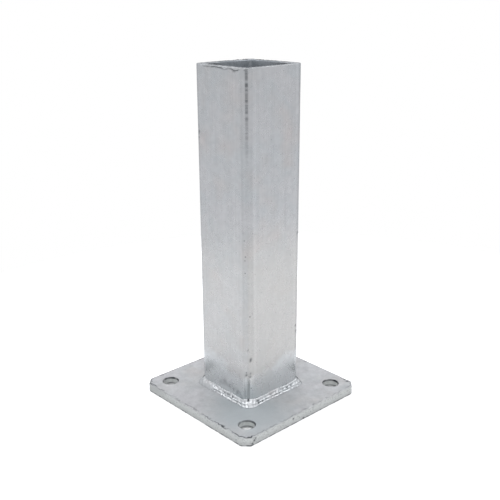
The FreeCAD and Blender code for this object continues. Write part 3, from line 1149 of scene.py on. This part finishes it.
@dataclass
class WeldRun:
    """One run of the fillet weld along a wall of the tube, laid by hand and then galvanised."""

    side: Side
    phase: float                    # where the run's slow waves start, in radians
    smooth_length: float            # how far the run starts out smooth, before the passes show
    rough_end: float                # and how far it is lumpy from there
    tube_half: float
    tube_corner: float
    plate_top: float
    leg_on_plate: float = 3.7
    leg_on_tube: float = 4.8
    crown: float = 0.25
    corner_lump: float = 1.5        # added to both legs where two runs meet
    lump_reach: float = 9.0
    wander: float = 0.3
    wander_length: float = 23.0
    pass_depth: float = 0.55        # valleys between the ridges that the weld's passes leave along it
    valley_soil: float = 0.4        # painted shade in them
    pass_gap: float = 0.43          # between two ridges, as a share of the way from toe to toe
    hole_size: float = 1.5          # blowhole at each end of the run
    spots: Swell = Swell(1.0, 1.4, 3.0)             # dark spots where it is lumpy
    ridge_wander: Swell = Swell(0.06, 4.0, 2.0)
    ridge_gaps: Swell = Swell(1.2, 2.2, 5.0)
    step: float = 0.3               # spacing of sections along the run
    across: int = 26                # points from the toe on the plate to the toe on the tube

    @property
    def corner_share(self) -> float:
        """Length of the run's part of one corner, along the middle of the bead."""
        return (self.tube_corner + self.leg_on_plate / 2) * math.pi / 4

    @property
    def length(self) -> float:
        """The run's whole length."""
        return 2 * self.corner_share + 2 * (self.tube_half - self.tube_corner)

    def foot(self, travel: float) -> tuple[Flat, Flat]:
        """Find the tube's outside under the run.

        Args:
            travel: distance along the run.

        Returns:
            The point on the front wall's outside and the outward direction there.
        """
        centre = self.tube_half - self.tube_corner
        over = travel - self.corner_share - 2 * centre
        if travel < self.corner_share:
            turn, middle = math.pi / 4 * (travel / self.corner_share - 1), -centre
        elif over > 0:
            turn, middle = math.pi / 4 * over / self.corner_share, centre
        else:
            turn, middle = 0.0, travel - self.corner_share - centre
        outward = (math.sin(turn), -math.cos(turn))
        return (middle + outward[0] * self.tube_corner, -centre + outward[1] * self.tube_corner), outward

    def reach(self, travel: float, share: float) -> float:
        """Distance of the bead's face from its root.

        Args:
            travel: distance along the run.
            share: 0 at the toe on the plate, 1 at the toe on the tube.

        Returns:
            The distance in the direction that the share gives.
        """
        middle = self.middle(travel)
        wave = self.wander * math.sin(2 * math.pi * travel / self.wander_length + self.phase)
        growth = self.corner_lump * (1 - middle) + wave * middle
        on_plate, on_tube = self.leg_on_plate + growth, self.leg_on_tube + growth
        angle = math.radians(90 * share)
        flat = 1 / (math.cos(angle) / on_plate + math.sin(angle) / on_tube)
        return flat + self.crown * math.sin(2 * angle) - self.pass_depth * self.valley(travel, share)

    def valley(self, travel: float, share: float) -> float:
        """How deep a place lies between the ridges of two passes.

        Args:
            travel: distance along the run.
            share: 0 at the toe on the plate, 1 at the toe on the tube.

        Returns:
            0 on a ridge or where the run is smooth, 1 in a valley.
        """
        wobble = self.ridge_wander.at(travel, self.phase)
        shown = smooth(travel, self.smooth_length, self.smooth_length + 8)
        shown *= 0.4 + 0.6 * self.middle(travel)
        shown *= 0.75 + self.ridge_gaps.at(travel, 3.0 * share, self.phase)
        return shown * abs(math.sin(math.pi * (share + wobble - 0.07) / self.pass_gap))

    def lumpy(self, travel: float) -> float:
        """How lumpy the run is at a place, from 0 to 1."""
        start = smooth(travel, self.smooth_length, self.smooth_length + 4)
        return start * (1 - smooth(travel, self.rough_end - 6, self.rough_end))

    def middle(self, travel: float) -> float:
        """How far a place is from the run's ends, from 0 to 1."""
        return smooth(min(travel, self.length - travel), 0.0, self.lump_reach)

    def soil(self, travel: float, share: float) -> float:
        """Blowholes at the run's ends, painted shade in its valleys and spots on its lumps.

        Args:
            travel: distance along the run.
            share: 0 at the toe on the plate, 1 at the toe on the tube.

        Returns:
            How dark the place is, up to 1.
        """
        hole = hump(min(travel, self.length - travel), 0.0, self.hole_size) * smooth(share, 0.65, 0.85)
        spots = max(self.spots.at(travel, 6.0 * share, self.phase) - 0.25, 0.0)
        return max(hole, self.valley_soil * self.valley(travel, share) ** 2, self.lumpy(travel) * spots)

    def blank(self) -> bpy.types.Object:
        """Make the bead that the ripples are laid on.

        Returns:
            A closed mesh with the attributes travel, around, middle, lumpy, pit, cut and away.
        """
        skin = Skin()
        marks: dict[str, list[float]] = {
            name: [] for name in ("travel", "around", "middle", "lumpy", "pit", "cut")}
        away: list[float] = []
        sections = []
        count = round(self.length / self.step)
        for i in range(count + 1):
            travel = self.length * i / count
            (x, y), outward = self.foot(travel)
            points = []
            for j in range(self.across + 2):
                face = 1.0 if j <= self.across else 0.0         # the last point is the root
                share = face * j / self.across
                angle = math.radians(90 * share)
                level, rise = face * math.cos(angle), face * math.sin(angle)
                reach = self.reach(travel, share)
                flat = self.side.turned(x + outward[0] * reach * level, y + outward[1] * reach * level)
                points.append((*flat, self.plate_top + reach * rise))
                away += [*self.side.turned(outward[0] * level, outward[1] * level), rise]
                values = (travel, share, self.middle(travel), self.lumpy(travel),
                          face * self.soil(travel, share), 0.0)
                for mark, value in zip(marks.values(), values):
                    mark.append(value)
            sections.append(skin.ring(points))
        skin.stack(sections[::-1])
        skin.faces += [tuple(sections[0]), tuple(reversed(sections[-1]))]
        skin.marks = marks
        piece = skin.build(f"{self.side.node}_bead")
        piece.data.attributes.new("away", "FLOAT_VECTOR", "POINT").data.foreach_set("vector", away)
        return piece

    def build(self, ripples: "RippleTree", material: bpy.types.Material) -> bpy.types.Object:
        """Lay the ripples on the bead and dress the run.

        Args:
            ripples: the tree that raises the ripples.
            material: the weld's zinc.

        Returns:
            The finished piece.
        """
        piece = self.blank()
        ripples.apply(piece, {"Material": material, "Seed": self.phase})
        return piece


# ------------------------------------------------------------------ geometry nodes

PLACE = Kind("GeometryNodeInputPosition")
READ = Kind("GeometryNodeInputNamedAttribute", {"data_type": "FLOAT"})      # name
READ_VECTOR = Kind("GeometryNodeInputNamedAttribute", {"data_type": "FLOAT_VECTOR"})


class NodeWork:
    """A geometry node tree with named inputs, applied to a piece and taken off again."""

    title = "node work"
    inputs: dict[str, tuple[str, object]] = {}

    def __init__(self) -> None:
        self.tree = bpy.data.node_groups.new(self.title, "GeometryNodeTree")
        self.tree.is_modifier = True
        for way in ("INPUT", "OUTPUT"):
            self.tree.interface.new_socket("Geometry", in_out=way, socket_type="NodeSocketGeometry")
        for name, (kind, default) in self.inputs.items():
            socket = self.tree.interface.new_socket(name, in_out="INPUT", socket_type=kind)
            if default is not None:
                socket.default_value = default
        self.lay: Lay = partial(add_node, self.tree)
        self.source = self.lay(Kind("NodeGroupInput")).node.outputs
        real = self.lay(Kind("GeometryNodeRealizeInstances"), self.worked())
        dressed = self.lay(Kind("GeometryNodeSetMaterial"), real, inputs={
            "Material": self.source["Material"]})
        self.lay(Kind("NodeGroupOutput"), dressed)

    def worked(self) -> Socket:
        """Lay the tree's own nodes and return their geometry."""
        raise NotImplementedError

    def apply(self, piece: bpy.types.Object, values: dict[str, object]) -> None:
        """Run the tree on a piece and keep the result as its plain mesh.

        Args:
            piece: the mesh object.
            values: values for the tree's named inputs.
        """
        modifier = piece.modifiers.new(self.title, "NODES")
        modifier.node_group = self.tree
        for socket in self.tree.interface.items_tree:
            if socket.in_out == "INPUT" and socket.name in values:
                modifier[socket.identifier] = values[socket.name]
        bpy.context.view_layer.update()
        graph = bpy.context.evaluated_depsgraph_get()
        mesh = bpy.data.meshes.new_from_object(piece.evaluated_get(graph), depsgraph=graph)
        piece.modifiers.remove(modifier)
        piece.data = mesh
        mesh.name = piece.name
        shade_smooth(mesh)


class DropletTree(NodeWork):
    """Scatters small flat droplets of spatter and zinc over a piece, closest together round the weld."""

    title = "zinc droplets"
    inputs = {
        "Density": ("NodeSocketFloat", 500.0),
        "Width": ("NodeSocketFloat", 1.2),
        "Flatness": ("NodeSocketFloat", 0.35),
        "Weld Reach": ("NodeSocketFloat", 32.0),
        "Weld Height": ("NodeSocketFloat", 8.0),
        "Top": ("NodeSocketFloat", 274.0),
        "Seed": ("NodeSocketInt", 0),
        "Material": ("NodeSocketMaterial", None),
    }
    near_mm, far_mm = 4.0, 30.0     # gaps to the weld where droplets are closest together and sparsest
    crowding = 3.0                  # how many times closer together near the weld
    least_size = 0.45               # of the smallest droplet, as a share of the largest
    most_cut = 0.05                 # a rough cut face takes no droplets

    def worked(self) -> Socket:
        """Scatter half-sunken balls on the clean upper and outer faces and add them to the piece.

        Returns:
            The piece with its droplets.
        """
        lay, source = self.lay, self.source
        place_mm = lay(SCALE, lay(PLACE), inputs={"Scale": 1 / MM})
        parts = lay(SPLIT, lay(ABSOLUTE_PARTS, place_mm)).node.outputs
        reach = lay(MAXIMUM, parts["X"], parts["Y"])
        gap = lay(ADD, lay(ABSOLUTE, lay(SUBTRACT, reach, source["Weld Reach"])),
                  lay(ABSOLUTE, lay(SUBTRACT, parts["Z"], source["Weld Height"])))
        crowd = lay(RANGE, gap, self.near_mm, self.far_mm, self.crowding, 1.0)
        density = lay(MULTIPLY, source["Density"], crowd)
        clean = lay(LESS, lay(READ, "cut", output="Attribute"), self.most_cut)
        above = lay(GREATER, parts["Z"], lay(SUBTRACT, source["Weld Height"], 0.2))
        clean = lay(MULTIPLY, lay(MULTIPLY, clean, above), lay(LESS, parts["Z"], source["Top"]))
        points = lay(Kind("GeometryNodeDistributePointsOnFaces"), source["Geometry"], inputs={
            "Density": lay(MULTIPLY, density, clean), "Seed": source["Seed"]}).node.outputs
        ball = lay(Kind("GeometryNodeMeshUVSphere"), inputs={
            "Segments": 8, "Rings": 5, "Radius": lay(MULTIPLY, source["Width"], MM / 2)})
        size = lay(Kind("FunctionNodeRandomValue", {"data_type": "FLOAT"}), inputs={
            2: self.least_size, 3: 1.0, "Seed": source["Seed"]}, output=1)
        shape = lay(Kind("ShaderNodeCombineXYZ"), 1.0, 1.0, source["Flatness"])
        droplets = lay(Kind("GeometryNodeInstanceOnPoints"), points["Points"], inputs={
            "Instance": ball, "Rotation": points["Rotation"],
            "Scale": lay(SCALE, shape, inputs={"Scale": size})})
        joined = lay(Kind("GeometryNodeJoinGeometry"), droplets)
        self.tree.links.new(source["Geometry"], joined.node.inputs[0])
        return joined


class RippleTree(NodeWork):
    """Raises the crescent ripples of a weld laid from one end of its run to the other."""

    title = "weld ripples"
    inputs = {
        "Pitch": ("NodeSocketFloat", 2.9),
        "Height": ("NodeSocketFloat", 0.32),
        "Sweep": ("NodeSocketFloat", 1.1),
        "Unevenness": ("NodeSocketFloat", 0.34),
        "Seed": ("NodeSocketFloat", 0.0),
        "Material": ("NodeSocketMaterial", None),
    }
    drift_mm = 3.0                  # how far a ripple strays from its even place
    drift_swell_mm = 5.5            # one swell of that
    lump_mm = 1.8                   # width of a lump
    lumpy_gain = 5.5                # how much higher the lumps are where the run is lumpy
    end_height, middle_drop = 1.5, 0.7      # how high the ripples are at the ends, and less in the middle
    pit_sink_mm = 0.3

    def worked(self) -> Socket:
        """Move each point of the bead's face away from the root by its place on a ripple.

        Returns:
            The rippled bead.
        """
        lay, source = self.lay, self.source
        names = ("travel", "around", "middle", "lumpy", "pit")
        travel, around, middle, lumpy, pit = (lay(READ, name, output="Attribute") for name in names)
        place_mm = lay(SCALE, lay(PLACE), inputs={"Scale": 1 / MM})
        across = lay(SINE, lay(MULTIPLY, around, math.pi))
        drift = lay(SUBTRACT, lay(NOISE, place_mm, source["Seed"], 1 / self.drift_swell_mm, 1.0), 0.5)
        trailed = lay(ADD, travel, lay(MULTIPLY, across, source["Sweep"]))
        phase = lay(DIVIDE, lay(ADD, trailed, lay(MULTIPLY, drift, self.drift_mm)), source["Pitch"])
        crest = lay(SINE, lay(MULTIPLY, phase, 2 * math.pi))
        ripple = lay(MULTIPLY, lay(MULTIPLY, crest, 0.5), source["Height"])
        ends = lay(SUBTRACT, self.end_height, lay(MULTIPLY, middle, self.middle_drop))
        ripple = lay(MULTIPLY, lay(MULTIPLY, ripple, across), ends)
        lumps = lay(SUBTRACT, lay(NOISE, place_mm, source["Seed"], 1 / self.lump_mm, 2.0), 0.5)
        rough = lay(ADD, lay(MULTIPLY, lumpy, self.lumpy_gain), 1.0)
        lumps = lay(MULTIPLY, lay(MULTIPLY, lumps, source["Unevenness"]), rough)
        lift = lay(SUBTRACT, lay(ADD, ripple, lumps), lay(MULTIPLY, pit, self.pit_sink_mm))
        away = lay(READ_VECTOR, "away", output="Attribute")
        offset = lay(SCALE, away, inputs={"Scale": lay(MULTIPLY, lift, MM)})
        return lay(Kind("GeometryNodeSetPosition"), source["Geometry"], inputs={"Offset": offset})


# ------------------------------------------------------------------ studio

@dataclass
class Studio:
    """Plain pale floor, soft light and the camera."""

    camera_place: Point = (-403.3, -437.3, 330.5)
    azimuth: float = 0.7456         # of the view, from +Y towards +X, in radians
    pitch: float = 0.3268           # below the horizon
    roll: float = -0.0054
    lens: float = 55.35
    sensor: float = 36.0
    room_colour: str = "#fafbff"
    room_low: float = 0.90          # brightness of the room that the metal mirrors, low beside the floor,
    room_level: float = 0.76        # at the horizon
    room_above: float = 1.50        # and overhead
    low_span: Flat = (-0.36, -0.08)         # rises of a ray, straight up being 1, between which the low
    above_span: Flat = (0.50, 0.90)         # brightness ends and the one overhead comes in
    floor_centre: Flat = (27.0, -27.0)
    floor_radius: float = 455.0
    floor_drop: float = 0.1         # how far the floor lies under the part
    floor_sides: int = 96
    floor_colour: str = "#ededed"
    floor_glow: float = 0.45        # lifts the floor to white for the camera alone

    def camera(self) -> None:
        """Place the camera."""
        forward = Vector((math.sin(self.azimuth) * math.cos(self.pitch),
                          math.cos(self.azimuth) * math.cos(self.pitch), -math.sin(self.pitch)))
        level = Vector((math.cos(self.azimuth), -math.sin(self.azimuth), 0.0))
        upright = level.cross(forward)
        right = math.cos(self.roll) * level + math.sin(self.roll) * upright
        up = math.cos(self.roll) * upright - math.sin(self.roll) * level
        data = bpy.data.cameras.new("studio_camera")
        data.lens = self.lens
        data.sensor_width = self.sensor
        data.clip_start = 0.01
        camera = bpy.data.objects.new("studio_camera", data)
        axes = Matrix((right, up, -forward)).transposed().to_4x4()
        camera.matrix_world = Matrix.Translation(Vector(self.camera_place) * MM) @ axes
        bpy.context.scene.collection.objects.link(camera)
        bpy.context.scene.camera = camera

    def world(self) -> None:
        """White to the camera, and a soft room that brightens overhead to the metal."""
        world = bpy.data.worlds.new("soft_room")
        world.use_nodes = True
        world.node_tree.nodes.clear()
        lay = partial(add_node, world.node_tree)
        rise = lay(SPLIT, lay(Kind("ShaderNodeTexCoord"), output="Generated"), output="Z")
        walls = lay(RANGE, rise, *self.low_span, self.room_low, self.room_level)
        ceiling = lay(RANGE, rise, *self.above_span, 0.0, self.room_above - self.room_level)
        room = lay(BACKGROUND, linear(self.room_colour), lay(ADD, walls, ceiling))
        white = lay(BACKGROUND, linear("#ffffff"), 1.0)
        mix = lay(Kind("ShaderNodeMixShader"), lay(RAY, output="Is Camera Ray"), room, white)
        lay(Kind("ShaderNodeOutputWorld"), mix)
        bpy.context.scene.world = world

    def floor(self) -> None:
        """Lay a pale round floor that catches the part's shadow."""
        material = bpy.data.materials.new("pale_floor_paint")
        material.use_nodes = True
        material.node_tree.nodes.clear()
        lay = partial(add_node, material.node_tree)
        paint = lay(Kind("ShaderNodeBsdfDiffuse"), linear(self.floor_colour))
        glow = lay(Kind("ShaderNodeEmission"), inputs={
            "Strength": lay(MULTIPLY, lay(RAY, output="Is Camera Ray"), self.floor_glow)})
        lay(Kind("ShaderNodeOutputMaterial"), lay(Kind("ShaderNodeAddShader"), paint, glow))
        turns = [2 * math.pi * i / self.floor_sides for i in range(self.floor_sides)]
        rim = [((self.floor_centre[0] + self.floor_radius * math.cos(a)) * MM,
                (self.floor_centre[1] + self.floor_radius * math.sin(a)) * MM, -self.floor_drop * MM)
               for a in turns]
        mesh = bpy.data.meshes.new("studio_floor")
        mesh.from_pydata(rim, [], [tuple(range(len(rim)))])
        mesh.materials.append(material)
        floor = bpy.data.objects.new("studio_floor", mesh)
        bpy.context.scene.collection.objects.link(floor)

    def lamp(self, name: str, place: Point, size: float, power: float) -> None:
        """Hang one softbox that looks at the foot of the part.

        Args:
            name: the lamp's name.
            place: where it hangs, in millimetres.
            size: side of the softbox, in millimetres.
            power: watts.
        """
        data = bpy.data.lights.new(name, "AREA")
        data.shape = "SQUARE"
        data.size = size * MM
        data.energy = power
        lamp = bpy.data.objects.new(name, data)
        spot = Vector(place) * MM
        aim = -spot
        lamp.matrix_world = Matrix.Translation(spot) @ aim.to_track_quat("-Z", "Y").to_matrix().to_4x4()
        bpy.context.scene.collection.objects.link(lamp)

    def build(self) -> None:
        """Set up the whole studio."""
        self.camera()
        self.world()
        self.floor()
        self.lamp("softbox_front", (-700.0, -700.0, 1500.0), 1300.0, 2.5)
        self.lamp("softbox_right", (1300.0, -400.0, 1400.0), 900.0, 3.0)
        self.lamp("softbox_left", (-400.0, 1300.0, 1400.0), 900.0, 3.0)
        bpy.context.scene.view_settings.view_transform = "Standard"


# ------------------------------------------------------------------ making

RUNS = {                            # phase, smooth length and end of the lumpy stretch of each weld run
    Side.FRONT: (0.0, 0.0, 0.0),
    Side.RIGHT: (0.8, 12.0, 20.0),
    Side.BACK: (2.1, 4.0, 26.0),
    Side.LEFT: (3.3, 15.0, 44.0),
}


def finish_piece(piece: bpy.types.Object, node: str) -> None:
    """Tie a finished piece to the frame and report it.

    Args:
        piece: the finished piece.
        node: the solid that it stands for.
    """
    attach(piece, BODY)
    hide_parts(node)
    triangles = sum(len(polygon.vertices) - 2 for polygon in piece.data.polygons)
    log.info("%s stands for %s: %d triangles", piece.name, node, triangles)


def main() -> None:
    """Build the studio and every piece in order."""
    logging.basicConfig(level=logging.INFO, format="%(name)s: %(message)s")
    Studio().build()
    plate_low, plate_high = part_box("base_plate")
    tube_low, tube_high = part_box("post_tube")
    pattern = next(m for m in frame["record"]["mounts"] if m["name"] == "anchor_holes")["dims"]
    reach_x, reach_y = pattern["spacing_x_mm"] / 2, pattern["spacing_y_mm"] / 2
    centres = [(sx * reach_x, sy * reach_y) for sx in (-1, 1) for sy in (-1, 1)]

    plate = BasePlate(plate_low, plate_high, centres, pattern["hole_r_mm"])
    plate_zinc = PlateZinc("galvanised_zinc_on_plate", roughness=0.70).build()
    droplets = DropletTree()
    finish_piece(plate.build(droplets, plate_zinc), "base_plate")
    tube = PostTube(tube_low, tube_high)
    tube_zinc = TubeZinc("galvanised_zinc_on_tube").build()
    finish_piece(tube.build(droplets, tube_zinc), "post_tube")
    ripples = RippleTree()
    weld_zinc = GalvanisedZinc("galvanised_zinc_on_weld", pale="#d9dbdc", roughness=0.36).build()
    for side, (phase, smooth_length, rough_end) in RUNS.items():
        run = WeldRun(side, phase, smooth_length, rough_end, tube.half, tube.corner, plate.thickness)
        finish_piece(run.build(ripples, weld_zinc), side.node)


if __name__ == "__main__":
    main()
